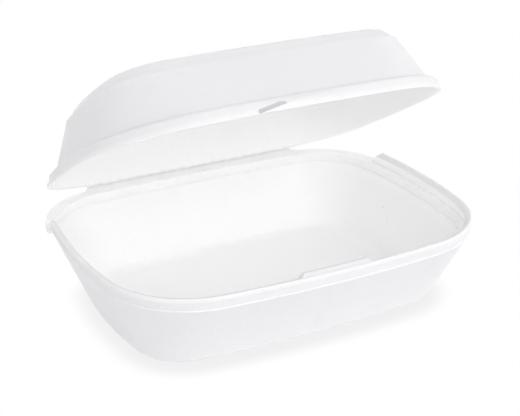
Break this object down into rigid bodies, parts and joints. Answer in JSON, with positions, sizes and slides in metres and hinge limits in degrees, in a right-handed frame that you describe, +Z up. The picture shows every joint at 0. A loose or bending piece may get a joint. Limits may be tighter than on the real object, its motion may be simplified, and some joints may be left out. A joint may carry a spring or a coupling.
{
  "type": "foam clamshell container",
  "caption": "White foam takeaway box with a deep tray, a creased web along the rear and a domed lid with a tuck-in latch.",
  "frame": {"origin": "on the face the tray rests on, below the widest point of its rim", "axes": "+X along the container, -Y towards the front with the latch, +Z up; the crease runs along X at the rear"},
  "size_m": [0.185, 0.1505, 0.1263],
  "materials": {
    "foam": "satin"
  },
  "bodies": {
    "tray": {"tray": "foam"},
    "lid": {"lid": "foam"}
  },
  "joints": [
    {"name": "lid_hinge", "type": "hinge", "parent": "tray", "child": "lid", "pos_m": [0, 0.0751, 0.03775], "axis": [-1, 0, 0], "range_deg": [-29.5, 150.5]}
  ]
}
